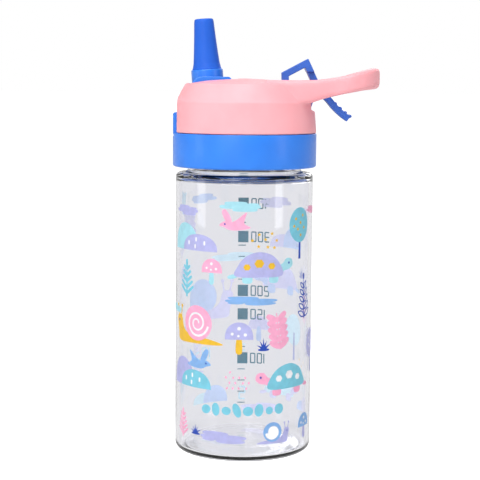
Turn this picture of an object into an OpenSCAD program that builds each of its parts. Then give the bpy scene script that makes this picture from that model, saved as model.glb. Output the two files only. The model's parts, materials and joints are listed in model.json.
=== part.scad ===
// Kids' water bottle: a clear screw-neck bottle, a screw lid with a flip-up spout,
// a carry loop and a forked lock lever. Axis on Z, base at z = 0,
// spout and release button towards -X, carry loop and lever towards +X.

/* [Bottle] */
// Outer radius of the clear barrel
body_r = 34; // [33:0.5:34.5]
// Height of the shoulder above the base
shoulder_z = 138.4; // [100:0.1:180]
// Wall of the clear barrel
wall = 1.9; // [1.5:0.1:2.4]
// Outer radius of the neck
neck_r = 28; // [27.6:0.1:28.2]
// Height of the hollow under the base
push_up = 3; // [2:0.5:4]

/* [Screw thread] */
// Rise of the lid for one turn
thread_pitch = 4.5; // [4:0.1:5]
// Turns of thread on the neck
neck_turns = 1.4; // [1:0.1:1.5]
// Turns of thread in the collar
collar_turns = 1.2; // [1:0.1:1.3]

/* [Lid] */
// Outer radius of the blue screw collar
collar_r = 35.5; // [35.2:0.1:36]
// Height of the screw collar
collar_h = 16.5; // [16:0.1:17]
// Height of the pink cover over its middle
dome_h = 26.8; // [26.5:0.1:27.2]
// Wall of the pink cover
dome_wall = 2; // [1.8:0.1:2.2]
// Distance of the cover's flat front from the axis
front_flat = 33.1; // [32.9:0.1:34]

/* [Spout] */
// Distance from the spout's pivot to its tip
spout_l = 36; // [34:0.5:36]
// Lean of the raised spout towards the front, in degrees
spout_lean = 4; // [3:0.5:6]
// Radius of the drinking channel
channel_r = 3; // [2:0.25:3.25]
// Outer radius of the spout at its tip
tip_r = 4.7; // [4.5:0.1:4.9]

/* [Carry loop and lever] */
// Reach of the carry loop from the axis
loop_reach = 66.2; // [64:0.1:68]
// Half width of the finger gap
gap_half = 13.5; // [12:0.5:14]
// Thickness of the lever's bars
lever_t = 3.2; // [2.8:0.1:3.3]

/* [Hidden] */
$fn = 96;
eps = 0.01;

blue = [0.22, 0.49, 0.90];
deep_blue = [0.28, 0.42, 0.76];
pink = [0.98, 0.77, 0.78];
clear = [0.85, 0.86, 0.89, 0.4];
silicone = [0.93, 0.93, 0.95, 0.8];
steel = [0.75, 0.76, 0.78];

// Heights of the lid, stacked on the bottle's shoulder
collar_z = shoulder_z + 2.9;
neck_top = collar_z + 10.2;
seal_t = 1.8;
deck_z = neck_top + seal_t;
deck_t = 2.2;
deck_top = deck_z + deck_t;
dome_z = collar_z + collar_h;
tray_z = dome_z + 10.1;
tray_floor = 1.4;

// Bottle
corner_r = 4;
shoulder_r = 2.5;
foot_in = 27;
foot_out = 30;
base_t = 3;
neck_in = neck_r - 2.1;

// Thread
thread_depth = 1.6;
thread_clear = 0.5;
thread_root = 1.9;
thread_crest = 1.0;
thread_steps = 36;
collar_in = neck_r + thread_depth + thread_clear;
neck_thread_z = collar_z + 1.4;
collar_thread_z = neck_thread_z + thread_pitch / 2;

// Pivots as [x, z], all along Y
spout_pivot = [-18, dome_z + 19.6];
lever_pivot = [30, dome_z + 14.6];
button_pivot = [-31, dome_z + 6.1];
pin_r = 1.25;
run_clear = 0.05;
hold_clear = 0.01;

// Spout
drum_r = 7.8;
drum_w = 15.8;
tooth_r = 8.8;
sleeve_r = drum_r;
sleeve_l = 11.4;

// Place of the air vent on the deck
vent_at = [6, -19];

// Channel in the cover, and the tray below it
ear_in = 8.3;
ear_out = 10.2;
slot_front = 10.6;
slot_mid = 8.6;
slot_rear = 6.2;
slot_notch = 13.4;
channel_x0 = -27.3;
channel_x1 = 24.5;

// Lever
arm_w = 11;
fork_in = 5.6;
fork_out = 8;
hub_r = 3;

// Button
button_w = 12;
button_arm_w = 10;
button_gap = 0.3;
nib_x = spout_pivot[0] - tooth_r + 0.05;
button_z0 = dome_z - 1.2;
button_z1 = dome_z + 9.9;

function arc(c, r, a0, a1, n) =
    [for (i = [0:n]) let (a = a0 + (a1 - a0) * i / n) [c[0] + r * cos(a), c[1] + r * sin(a)]];

// Turns an [x, z] outline into a plate of width w across Y
module side(w, y = 0) {
    translate([0, y, 0])
        rotate([90, 0, 0])
            linear_extrude(height = w, center = true)
                children();
}

// Points beside a path of [x, z] points, at distance d to its left, with mitred corners
function beside(path, d) =
    [for (i = [0:len(path) - 1])
        let (a = path[max(i - 1, 0)], b = path[i], c = path[min(i + 1, len(path) - 1)],
             u = i == 0 ? (c - b) / norm(c - b) : (b - a) / norm(b - a),
             v = i == len(path) - 1 ? u : (c - b) / norm(c - b),
             n = [-u[1] - v[1], u[0] + v[0]])
        b + n * 2 * d / (n * n)];

// A flat bar of thickness t along a path of [x, z] points
module ribbon(path, t) {
    right = beside(path, -t / 2);
    polygon(concat(beside(path, t / 2), [for (i = [len(path) - 1:-1:0]) right[i]]));
}

// A cylinder across Y at an [x, z] place
module across(p, r, w, y = 0) {
    translate([p[0], y, p[1]])
        rotate([90, 0, 0])
            cylinder(r = r, h = w, center = true);
}

// A box from one corner to the other
module block(lo, hi) {
    translate(lo)
        cube(hi - lo);
}

// A helical ridge from radius base to radius crest, run out at both ends
module thread(base, crest, turns, z) {
    steps = ceil(turns * thread_steps);
    run_out = 4;
    ring = [for (i = [0:steps])
        let (a = 360 * turns * i / steps,
             h = z + thread_pitch * turns * i / steps,
             k = max(0.05, min(1, i / run_out, (steps - i) / run_out)),
             tip = base + (crest - base) * k)
        each [for (p = [[base, -thread_root / 2], [tip, -thread_crest / 2],
                        [tip, thread_crest / 2], [base, thread_root / 2]])
            [p[0] * cos(a), p[0] * sin(a), h + p[1]]]];
    outward = crest > base;
    skin = [for (i = [0:steps - 1], j = [0:3])
        let (a = 4 * i + j, b = 4 * i + (j + 1) % 4)
        each [[a, a + 4, b + 4], [a, b + 4, b]]];
    caps = [[0, 1, 2], [0, 2, 3],
            [4 * steps + 2, 4 * steps + 1, 4 * steps], [4 * steps + 3, 4 * steps + 2, 4 * steps]];
    polyhedron(ring, [for (f = concat(skin, caps)) outward ? [f[2], f[1], f[0]] : f]);
}

module bottle_profile() {
    polygon(concat(
        [[0, push_up], [foot_in - 5, push_up]],
        arc([foot_in - 5, push_up - 5], 5, 90, 37, 4),
        [[foot_in, 0]],
        arc([body_r - corner_r, corner_r], corner_r, -90, 0, 8),
        arc([body_r - shoulder_r, shoulder_z - shoulder_r], shoulder_r, 0, 90, 6),
        [[neck_r + 1, shoulder_z + 0.5], [neck_r, shoulder_z + 1.4],
         [neck_r, neck_top - 0.5], [neck_r - 0.5, neck_top],
         [neck_in + 0.4, neck_top], [neck_in, neck_top - 0.4]],
        arc([neck_in + 2, shoulder_z], 2, 180, 270, 4),
        arc([body_r - wall - shoulder_r, shoulder_z - 2 - shoulder_r], shoulder_r, 90, 0, 6),
        arc([body_r - wall - corner_r, push_up + base_t + corner_r], corner_r, 0, -90, 8),
        [[0, push_up + base_t]]));
}

module bottle_body() {
    color(clear)
        union() {
            rotate_extrude()
                bottle_profile();
            thread(neck_r - 0.4, neck_r + thread_depth, neck_turns, neck_thread_z);
        }
}

module lid_seal() {
    color(silicone)
        translate([0, 0, neck_top])
            difference() {
                cylinder(r = neck_r + 1.4, h = seal_t);
                translate([0, 0, -eps])
                    cylinder(r = neck_in - 0.8, h = seal_t + 1);
            }
}

module collar_profile() {
    edge = 0.6;
    polygon([[collar_in, collar_z + edge], [collar_in + edge, collar_z],
             [collar_in + 1.6, collar_z], [collar_in + 1.6, deck_z - 3],
             [collar_r - 2, deck_z - 3], [collar_r - 2, collar_z],
             [collar_r - edge, collar_z], [collar_r, collar_z + edge],
             [collar_r, dome_z], [collar_r - 2, dome_z],
             [collar_r - 2, deck_z], [collar_in, deck_z]]);
}

module screw_collar() {
    color(blue)
        difference() {
            union() {
                rotate_extrude()
                    collar_profile();
                thread(collar_in + 0.4, neck_r + 0.4, collar_turns, collar_thread_z);
            }
            block([-collar_r - 1, -button_w / 2 - button_gap, button_z0 - 0.7],
                  [-collar_in, button_w / 2 + button_gap, dome_z + 1]);
        }
}

// Outline of the ears that hold the spout's pin, a little proud of the cover
module ear_outline() {
    top = dome_z + 27.4;
    polygon(concat(
        [[channel_x0 + 1.2, tray_z - tray_floor]],
        arc([channel_x0 + 6.4, top - 5.2], 5.2, 180, 90, 6),
        arc([-8.2, top - 1.6], 1.6, 90, 0, 4),
        [[-4, tray_z + 8], [-4, tray_z - tray_floor]]));
}

module lid_deck() {
    wall_y = (ear_in + ear_out) / 2;
    wall_t = ear_out - ear_in;
    relief = 1;
    color(blue)
        difference() {
            union() {
                translate([0, 0, deck_z])
                    cylinder(r = collar_r - 2.2, h = deck_t);
                block([channel_x0 + 1.2, -ear_out, tray_z - tray_floor], [channel_x1 - 1, ear_out, tray_z]);
                for (s = [-1, 1]) {
                    side(wall_t, s * wall_y)
                        ear_outline();
                    block([channel_x0 + 1.2, s * wall_y - wall_t / 2, deck_top - eps],
                          [channel_x1 - 1, s * wall_y + wall_t / 2, tray_z + 8]);
                }
                block([channel_x0 + 1.2, -ear_out, deck_top - eps], [channel_x0 + 2.6, ear_out, tray_z]);
                block([channel_x1 - 2.4, -ear_out, deck_top - eps], [channel_x1 - 1, ear_out, tray_z]);
                translate([spout_pivot[0], 0, deck_top - eps])
                    cylinder(r = 5, h = tray_z - deck_top);
            }
            translate([spout_pivot[0], 0, deck_z - 1])
                cylinder(r = channel_r, h = tray_z - deck_z + 2);
            translate([spout_pivot[0], 0, tray_z - 0.9])
                cylinder(r = 5.6, h = 2);
            block([-collar_r, -button_w / 2 - button_gap, deck_top - relief], [-31.3, button_w / 2 + button_gap, dome_z]);
            across(spout_pivot, pin_r + hold_clear, 2 * ear_out + 2);
            translate([vent_at[0], vent_at[1], deck_z - 1])
                cylinder(r = 1.65, h = deck_t + 2);
        }
}

module vent_valve() {
    color(silicone)
        translate([vent_at[0], vent_at[1], deck_z]) {
            translate([0, 0, deck_t])
                cylinder(r = 3.4, h = 1);
            cylinder(r = 1.6, h = deck_t + eps);
            translate([0, 0, -1.2])
                cylinder(r = 2.6, h = 1.2);
        }
}

// Silicone gasket that the spout's drum turns on, level behind so that the folded spout clears it
module port_seal() {
    seal_gap = 0.1;
    color(silicone)
        difference() {
            translate([spout_pivot[0], 0, tray_z - 0.9])
                cylinder(r = 5.5, h = 5);
            across(spout_pivot, drum_r + seal_gap, drum_w + 4);
            block([spout_pivot[0], -6, spout_pivot[1] - sleeve_r - seal_gap],
                  [spout_pivot[0] + 6, 6, spout_pivot[1]]);
            translate([spout_pivot[0], 0, tray_z - 2])
                cylinder(r = channel_r, h = 8);
        }
}

module dome_profile() {
    polygon(concat(
        [[0, dome_z + dome_h - dome_wall], [collar_r - 8, dome_z + 21.6],
         [collar_r - 3, dome_z + 13.4], [collar_r - 2.1, dome_z + 0.9],
         [collar_r - 4, dome_z + 0.9], [collar_r - 4, deck_top], [collar_r - 2.2, deck_top],
         [collar_r - 2.2, dome_z], [collar_r - 0.1, dome_z],
         [collar_r - 1.1, dome_z + 15]],
        arc([collar_r - 8.1, dome_z + 22.6], 2, 24, 80, 4),
        crown()));
}

// Shallow crown over the middle of the cover, from its edge to the axis
function crown() =
    let (edge_r = collar_r - 9, drop = 1.9)
    [for (i = [0:6]) let (r = edge_r * (1 - i / 6)) [r, dome_z + dome_h - drop * pow(r / edge_r, 2)]];

// Inside of the cover, as one solid plug, flat behind the flat front
module dome_inside() {
    difference() {
        dome_core();
        block([-collar_r, -20, dome_z - 1], [dome_wall - front_flat, 20, dome_z + 20]);
    }
}

module dome_core() {
    rotate_extrude()
        polygon([[0, dome_z - 3], [collar_r - 4, dome_z - 3], [collar_r - 4, dome_z + 0.9],
                 [collar_r - 2.1, dome_z + 0.9], [collar_r - 3, dome_z + 13.4],
                 [collar_r - 8, dome_z + 21.6], [0, dome_z + dome_h - dome_wall]]);
}

// The carry loop seen from the side
module loop_outline() {
    polygon(concat(
        [[18, dome_z + 14.1], [31.5, dome_z + 15.2], [39, dome_z + 17.5], [48.9, dome_z + 19.7],
         [57.2, dome_z + 21.3]],
        arc([loop_reach - 1.5, dome_z + 23.3], 1.5, -80, 8, 4),
        arc([loop_reach - 3.4, dome_z + 30.3], 2, 8, 105, 4),
        [[54.9, dome_z + 30], [48.9, dome_z + 28.2], [41.3, dome_z + 27], [33.6, dome_z + 26.1],
         [26, dome_z + 25.8], [18, dome_z + 26.2]]));
}

// The carry loop seen from above
module loop_plan() {
    outer_r = 20;
    difference() {
        union() {
            translate([loop_reach - outer_r, 0])
                circle(r = outer_r);
            polygon([[14, -24], [loop_reach - outer_r, -outer_r], [loop_reach - outer_r, outer_r], [14, 24]]);
        }
        translate([loop_reach - 10 - gap_half, 0])
            circle(r = gap_half);
        translate([10, -gap_half])
            square([loop_reach - 20 - gap_half, 2 * gap_half]);
    }
}

module carry_loop() {
    intersection() {
        side(60)
            loop_outline();
        translate([0, 0, dome_z])
            linear_extrude(height = 40)
                loop_plan();
    }
}

module dome_cover() {
    ear_x = [25.5, 32];
    color(pink)
        difference() {
            union() {
                difference() {
                    union() {
                        rotate_extrude()
                            dome_profile();
                        carry_loop();
                    }
                    dome_inside();
                }
                for (s = [-1, 1]) {
                    block([ear_x[0], s * 8.2 - 2, dome_z + 10.5], [ear_x[1], s * 8.2 + 2, dome_z + 22]);
                    block([-33.4, s * 7.7 - 1.2, dome_z + 3.6], [-29, s * 7.7 + 1.2, dome_z + 8.8]);
                }
            }
            block([-collar_r - 1, -20, dome_z - 0.5], [-front_flat, 20, dome_z + 20]);
            block([channel_x0, -slot_front, dome_z + 11], [-4, slot_front, dome_z + 40]);
            block([channel_x0, -slot_mid, dome_z + 11], [channel_x1, slot_mid, dome_z + 40]);
            block([channel_x1 - 1, -slot_rear, dome_z + 10.9], [40, slot_rear, dome_z + 40]);
            block([32.2, -slot_notch, dome_z + 11.4], [40, slot_notch, dome_z + 16]);
            block([-40, -button_w / 2 - button_gap, deck_top - 1],
                  [-28.5, button_w / 2 + button_gap, button_z1 + button_gap]);
            across(lever_pivot, pin_r + hold_clear, 2 * ear_out + 0.4);
            across(button_pivot, 1 + hold_clear, 17.8);
        }
}

module spout_frame() {
    translate([spout_pivot[0], 0, spout_pivot[1]])
        rotate([0, -spout_lean, 0])
            children();
}

module spout_base() {
    tooth_at = 186 + 90 + spout_lean;
    color(blue)
        difference() {
            union() {
                across(spout_pivot, drum_r, drum_w);
                spout_frame()
                    cylinder(r = sleeve_r, h = sleeve_l);
                for (s = [-1, 1])
                    side(1.6, s * (drum_w / 2 - 0.8))
                        translate(spout_pivot)
                            rotate(tooth_at)
                                translate([0, -0.8])
                                    square([tooth_r, 1.6]);
            }
            spout_frame()
                translate([0, 0, -12])
                    cylinder(r = channel_r, h = 30);
            across(spout_pivot, pin_r + run_clear, drum_w + 2);
            for (s = [-1, 1])
                across(spout_pivot, 4.2, 3, s * (drum_w / 2));
        }
}

module spout_mouthpiece() {
    color(blue)
        spout_frame()
            rotate_extrude()
                polygon(concat(
                    [[channel_r, sleeve_l], [sleeve_r - 0.6, sleeve_l], [sleeve_r - 0.9, sleeve_l + 1],
                     [tip_r + 1.6, sleeve_l + 3], [tip_r + 1.15, sleeve_l + 8],
                     [tip_r + 0.65, sleeve_l + 14]],
                    arc([tip_r - 1.2, spout_l - 1.2], 1.2, 5, 90, 5),
                    arc([channel_r + 0.6, spout_l - 0.6], 0.6, 90, 180, 3)));
}

module spout_hinge_pin() {
    color(steel)
        across(spout_pivot, pin_r, 2 * ear_out);
}

// Torsion spring, drawn as the sleeve that its coils fill
module spout_spring() {
    color(steel)
        difference() {
            across(spout_pivot, 3.4, 1, drum_w / 2 - 0.7);
            across(spout_pivot, 2.2, 3, drum_w / 2 - 0.7);
        }
}

module release_button() {
    color(blue)
        difference() {
            union() {
                intersection() {
                    rotate_extrude()
                        polygon([[collar_r - 3, button_z0], [collar_r, button_z0], [collar_r, button_z1 - 1.2],
                                 [collar_r - 1.2, button_z1], [collar_r - 3, button_z1]]);
                    block([-collar_r - 1, -button_w / 2, button_z0], [-28, button_w / 2, button_z1]);
                }
                side(button_arm_w)
                    ribbon([[-33, button_pivot[1]], button_pivot, [-28.4, dome_z + 9.6],
                            [-27.5, dome_z + 16.4]], 1.4);
                across(button_pivot, 1.9, button_w);
                side(drum_w - 1.4)
                    polygon([[-27.7, dome_z + 15.6], [nib_x, dome_z + 16.4], [nib_x, dome_z + 17.2],
                             [-27.7, dome_z + 17.2]]);
            }
            across(button_pivot, 1 + run_clear, button_w + 2);
        }
}

module button_hinge_pin() {
    color(steel)
        across(button_pivot, 1, 17.6);
}

module button_spring() {
    color(steel)
        translate([-32.2, 0, dome_z + 1.6])
            rotate([0, 90, 0])
                difference() {
                    cylinder(r = 1.7, h = 6);
                    translate([0, 0, -1])
                        cylinder(r = 1.1, h = 9);
                }
}

// Lever, with its corner above the carry loop, a forked hook to the front and a thumb pad
module thumb_lever() {
    hook = [[-10.2, 9], [-10.4, 14.2]];
    arm = [[-0.1, 19.7], [3.6, 12], [6.6, 6.4]];
    pad = [[11.5, 1.5], [15.9, -3.4], [20.9, -7.3]];
    color(deep_blue)
        translate([lever_pivot[0], 0, lever_pivot[1]])
            difference() {
                union() {
                    difference() {
                        side(2 * fork_out)
                            ribbon(concat(hook, arm, pad), lever_t);
                        block([-20, -fork_in, 0], [arm[0][0] - 1.2, fork_in, 30]);
                        for (s = [-1, 1])
                            block([-4, s * (arm_w / 2 + 5) - 5, -20], [30, s * (arm_w / 2 + 5) + 5, 15.4]);
                    }
                    side(arm_w - 1)
                        ribbon([[0, 0], arm[2]], 4);
                    across([0, 0], hub_r, arm_w);
                }
                across([0, 0], pin_r + run_clear, arm_w + 2);
            }
}

module lever_hinge_pin() {
    color(steel)
        across(lever_pivot, pin_r, 2 * ear_out);
}

bottle_body();
lid_seal();
screw_collar();
lid_deck();
dome_cover();
port_seal();
vent_valve();
spout_base();
spout_mouthpiece();
spout_hinge_pin();
spout_spring();
release_button();
button_hinge_pin();
button_spring();
thumb_lever();
lever_hinge_pin();
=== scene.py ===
# %% [markdown]
# # Kids' water bottle
# A clear bottle with a printed barrel, a blue screw collar, a pink cover with a carry loop,
# a blue flip-up spout, a release button and a forked thumb lever.
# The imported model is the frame. It holds every size and every joint, and the pieces made here
# are the visible surfaces: round-edged mouldings, clear plastic, ink, coils and ridges.

import json
import math

import bmesh
import bpy
from mathutils import Matrix, Vector


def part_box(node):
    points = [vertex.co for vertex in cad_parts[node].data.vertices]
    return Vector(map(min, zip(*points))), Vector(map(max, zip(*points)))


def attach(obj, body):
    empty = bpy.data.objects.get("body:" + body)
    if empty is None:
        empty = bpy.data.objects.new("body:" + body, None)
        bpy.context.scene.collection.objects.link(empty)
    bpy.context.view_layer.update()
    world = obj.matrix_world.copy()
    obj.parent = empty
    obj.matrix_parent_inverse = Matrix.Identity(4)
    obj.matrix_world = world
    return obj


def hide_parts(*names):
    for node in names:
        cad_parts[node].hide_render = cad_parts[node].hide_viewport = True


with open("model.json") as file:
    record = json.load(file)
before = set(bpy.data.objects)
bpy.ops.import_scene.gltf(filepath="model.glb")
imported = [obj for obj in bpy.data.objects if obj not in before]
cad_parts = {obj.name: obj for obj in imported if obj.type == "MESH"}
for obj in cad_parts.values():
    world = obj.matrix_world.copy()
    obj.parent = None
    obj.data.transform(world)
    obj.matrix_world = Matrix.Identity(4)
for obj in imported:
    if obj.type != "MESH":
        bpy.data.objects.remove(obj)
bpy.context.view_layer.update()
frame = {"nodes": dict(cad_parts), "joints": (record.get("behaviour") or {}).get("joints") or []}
MM = 0.001

# %% [markdown]
# ## The driving sizes
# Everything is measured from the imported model: the barrel, the collar and the joints' axes.
# Lengths below are in millimetres, because that is how a moulded bottle is drawn, and each mesh
# is scaled to metres when it is made.

# %% Sizes taken from the frame
def span(node):
    """Lowest and highest corner of a node, in millimetres."""
    lo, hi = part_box(node)
    return lo / MM, hi / MM


def pivot(name):
    """Place of a joint's axis, in millimetres."""
    joint = next(j for j in frame["joints"] if j["name"] == name)
    return Vector(joint["pos_m"]) / MM


body_hi = span("bottle_body")[1]
collar_lo, collar_hi = span("screw_collar")
deck_lo = span("lid_deck")[0]
BARREL_R = body_hi.x
NECK_TOP = body_hi.z
COLLAR_R = collar_hi.x
COLLAR_Z = collar_lo.z
COVER_Z = collar_hi.z
NECK_GAP = 2.9
DECK_T = 2.2
SHOULDER_Z = COLLAR_Z - NECK_GAP
DECK_TOP = deck_lo.z + DECK_T
LOOP_REACH = span("dome_cover")[1].x
SPOUT = pivot("spout_fold")
LEVER = pivot("lever_swing")
BUTTON = pivot("button_rock")
print(f"barrel {2 * BARREL_R:.1f} across, shoulder {SHOULDER_Z:.1f}")
print(f"collar from {COLLAR_Z:.1f} to {COVER_Z:.1f}")

# %% [markdown]
# ## Camera
# The lens looks a little down at the bottle from about the height of the lid, near enough that
# the base shows as a curve. The bottle leans a touch in the frame, so the camera rolls.

# %% Camera
AXIS_DISTANCE = 668.0
EYE_Z = 180.2
SIDE_STEP = -1.9
PITCH = 6.47
ROLL = 0.45


def studio_camera():
    data = bpy.data.cameras.new("camera")
    data.lens = 101.06
    data.sensor_width = 36.0
    data.clip_start = 0.01
    camera = bpy.data.objects.new("camera", data)
    bpy.context.scene.collection.objects.link(camera)
    pitch = Matrix.Rotation(math.radians(90 - PITCH), 4, "X")
    roll = Matrix.Rotation(math.radians(ROLL), 4, "Z")
    place = Matrix.Translation(Vector((SIDE_STEP, -AXIS_DISTANCE, EYE_Z)) * MM)
    camera.matrix_world = place @ pitch @ roll
    bpy.context.scene.camera = camera
    print("camera at", [round(v, 4) for v in camera.location])


studio_camera()

# %% [markdown]
# ## Studio
# Clear plastic shows only what is around it, so the room decides its look. The room is white to
# the lens, nearly white through the plastic, and dimmer as a light source, as in a studio where
# the backdrop is lit apart from the product. Soft lamps in front, above, at the sides and
# behind then model the coloured lid.

# %% Room light
def studio_room(ambient=0.45, through=0.84, backdrop=1.0):
    """A world whose brightness depends on the kind of ray, not on where the camera is."""
    world = bpy.data.worlds.new("studio")
    world.use_nodes = True
    nodes, links = world.node_tree.nodes, world.node_tree.links
    ray = nodes.new("ShaderNodeLightPath")
    seen = nodes.new("ShaderNodeMath")
    seen.operation = "MULTIPLY_ADD"
    seen.inputs[1].default_value = backdrop - ambient
    seen.inputs[2].default_value = ambient
    clear = nodes.new("ShaderNodeMath")
    clear.operation = "MULTIPLY_ADD"
    clear.inputs[1].default_value = through - ambient
    links.new(ray.outputs["Is Camera Ray"], seen.inputs[0])
    links.new(ray.outputs["Is Transmission Ray"], clear.inputs[0])
    links.new(seen.outputs[0], clear.inputs[2])
    background = nodes["Background"]
    background.inputs["Color"].default_value = (1.0, 1.0, 1.0, 1.0)
    links.new(clear.outputs[0], background.inputs["Strength"])
    bpy.context.scene.world = world
    bpy.context.scene.view_settings.view_transform = "Standard"


studio_room()


# %% Lamps
def soft_lamp(name, place, aim, size, power):
    data = bpy.data.lights.new(name, "AREA")
    data.shape = "RECTANGLE"
    data.size, data.size_y = size
    data.energy = power
    lamp = bpy.data.objects.new(name, data)
    turn = (Vector(aim) - Vector(place)).to_track_quat("-Z", "Y").to_matrix().to_4x4()
    lamp.matrix_world = Matrix.Translation(place) @ turn
    bpy.context.scene.collection.objects.link(lamp)


soft_lamp("key_front_left", (-0.42, -0.95, 0.62), (0, 0, 0.14), (0.7, 0.7), 6.0)
soft_lamp("fill_right", (0.95, -0.55, 0.35), (0, 0, 0.14), (0.3, 0.6), 1.2)
soft_lamp("fill_left", (-0.95, -0.25, 0.35), (0, 0, 0.14), (0.3, 0.6), 0.9)
soft_lamp("top", (-0.05, -0.3, 0.95), (0, 0, 0.17), (0.5, 0.5), 5.0)

soft_lamp("behind", (0.35, 0.9, 0.55), (0, 0, 0.14), (0.6, 0.6), 2.5)

# %% [markdown]
# ## Finishes
# Moulded plastic is never one flat colour. Under the gloss there is a faint unevenness of the
# pigment, a slow ripple left by the tool, and a fine grain. The three are noise textures at
# three scales, in millimetres on the object's own coordinates, so they stay with the piece.

# %% Helpers for node materials
def finish(name):
    """A new material with its Principled node, and short ways to add and to link nodes."""
    material = bpy.data.materials.new(name)
    material.use_nodes = True
    tree = material.node_tree

    def add(kind, **values):
        node = tree.nodes.new(kind)
        for key, value in values.items():
            node.inputs[key].default_value = value
        return node

    return material, tree.nodes["Principled BSDF"], add, tree.links.new


def noise_at(add, link, per_mm, detail=2.0):
    """Noise with so many features in a millimetre."""
    place = add("ShaderNodeTexCoord")
    grain = add("ShaderNodeTexNoise", Scale=per_mm / MM, Detail=detail)
    link(place.outputs["Object"], grain.inputs["Vector"])
    return grain.outputs["Fac"]


def two_tone(add, link, factor, dark, light, low=0.35, high=0.65):
    """A ramp between two colours, driven by a noise."""
    ramp = add("ShaderNodeValToRGB")
    ramp.color_ramp.elements[0].position = low
    ramp.color_ramp.elements[1].position = high
    ramp.color_ramp.elements[0].color = (*dark, 1)
    ramp.color_ramp.elements[1].color = (*light, 1)
    link(factor, ramp.inputs["Fac"])
    return ramp.outputs["Color"]


def spread(add, link, factor, low, high):
    """A noise mapped to a range of roughness."""
    node = add("ShaderNodeMapRange")
    node.inputs["From Min"].default_value = 0.3
    node.inputs["From Max"].default_value = 0.7
    node.inputs["To Min"].default_value = low
    node.inputs["To Max"].default_value = high
    link(factor, node.inputs["Value"])
    return node.outputs["Result"]


def bumped(add, link, bsdf, factor, strength, distance_mm):
    node = add("ShaderNodeBump", Strength=strength, Distance=distance_mm * MM)
    link(factor, node.inputs["Height"])
    link(node.outputs["Normal"], bsdf.inputs["Normal"])


# %% Moulded plastics
TOOL_GRAIN = 0.02


def moulded_plastic(name, light, dark, rough, coat=0.0, glow=0.1, sheen=0.5):
    """Injection-moulded plastic: clouded pigment, uneven gloss and a fine tool grain."""
    material, bsdf, add, link = finish(name)
    link(two_tone(add, link, noise_at(add, link, 0.06, 3.0), dark, light), bsdf.inputs["Base Color"])
    link(spread(add, link, noise_at(add, link, 0.5, 4.0), rough - 0.05, rough + 0.07),
         bsdf.inputs["Roughness"])
    bumped(add, link, bsdf, noise_at(add, link, 3.5), 0.3, TOOL_GRAIN)
    bsdf.inputs["Specular IOR Level"].default_value = sheen
    bsdf.inputs["Coat Weight"].default_value = coat
    bsdf.inputs["Coat Roughness"].default_value = 0.12
    bsdf.inputs["Subsurface Weight"].default_value = glow
    bsdf.inputs["Subsurface Scale"].default_value = 0.0012
    bsdf.inputs["Subsurface Radius"].default_value = (1.0, 0.45, 0.4)
    return material


PINK = moulded_plastic("pink_moulding", (0.95, 0.42, 0.46), (0.92, 0.38, 0.42), 0.46)
BLUE = moulded_plastic("blue_moulding", (0.018, 0.215, 0.83), (0.015, 0.185, 0.76), 0.36,
                       coat=0.15, glow=0.0)
SPOUT_BLUE = moulded_plastic("soft_spout_blue", (0.012, 0.115, 0.62), (0.010, 0.10, 0.56), 0.55,
                             glow=0.0, sheen=0.3)
LEVER_BLUE = moulded_plastic("lever_blue", (0.03, 0.13, 0.58), (0.025, 0.11, 0.50), 0.4,
                             coat=0.1, glow=0.0)


# %% [markdown]
# Clear copolyester is a solid that bends light, with a faint cool cast. Seen edge-on the light
# goes a long way through the wall, so the rim of the barrel darkens: Layer Weight gives that.
# Lamps are let straight through, because a path tracer finds few of the bent paths to a lamp.

# %% Clear plastic
def clear_copolyester():
    material, bsdf, add, link = finish("clear_copolyester")
    edge = add("ShaderNodeLayerWeight", Blend=0.25)
    link(two_tone(add, link, edge.outputs["Facing"], (0.93, 0.932, 0.96), (0.66, 0.64, 0.75), 0.3, 1.0),
         bsdf.inputs["Base Color"])
    bsdf.inputs["Transmission Weight"].default_value = 1.0
    bsdf.inputs["IOR"].default_value = 1.5
    link(spread(add, link, noise_at(add, link, 0.15), 0.0, 0.035), bsdf.inputs["Roughness"])
    bumped(add, link, bsdf, noise_at(add, link, 0.035, 1.0), 0.35, 0.25)
    open_to_lamps = add("ShaderNodeBsdfTransparent")
    open_to_lamps.inputs["Color"].default_value = (0.98, 0.98, 0.985, 1)
    ray = add("ShaderNodeLightPath")
    mix = add("ShaderNodeMixShader")
    link(ray.outputs["Is Shadow Ray"], mix.inputs[0])
    link(bsdf.outputs[0], mix.inputs[1])
    link(open_to_lamps.outputs[0], mix.inputs[2])
    link(mix.outputs[0], material.node_tree.nodes["Material Output"].inputs["Surface"])
    return material


CLEAR = clear_copolyester()


# %% Silicone and steel
def silicone():
    """Milky silicone with a dusty bloom."""
    material, bsdf, add, link = finish("milky_silicone")
    link(two_tone(add, link, noise_at(add, link, 0.3, 3.0), (0.80, 0.83, 0.88), (0.9, 0.91, 0.94)),
         bsdf.inputs["Base Color"])
    bsdf.inputs["Subsurface Weight"].default_value = 0.4
    bsdf.inputs["Subsurface Scale"].default_value = 0.002
    link(spread(add, link, noise_at(add, link, 1.2, 3.0), 0.4, 0.6), bsdf.inputs["Roughness"])
    return material


def drawn_steel():
    """Bright drawn wire and pin stock, with fine lines along Y from the die."""
    material, bsdf, add, link = finish("drawn_steel")
    bsdf.inputs["Metallic"].default_value = 1.0
    place = add("ShaderNodeTexCoord")
    stretch = add("ShaderNodeMapping")
    stretch.inputs["Scale"].default_value = (1.0, 0.05, 1.0)
    lines = add("ShaderNodeTexNoise", Scale=8 / MM, Detail=2.0)
    link(place.outputs["Object"], stretch.inputs["Vector"])
    link(stretch.outputs["Vector"], lines.inputs["Vector"])
    link(two_tone(add, link, lines.outputs["Fac"], (0.5, 0.51, 0.53), (0.68, 0.69, 0.71)),
         bsdf.inputs["Base Color"])
    link(spread(add, link, lines.outputs["Fac"], 0.15, 0.4), bsdf.inputs["Roughness"])
    return material


SILICONE = silicone()
STEEL = drawn_steel()

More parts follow.
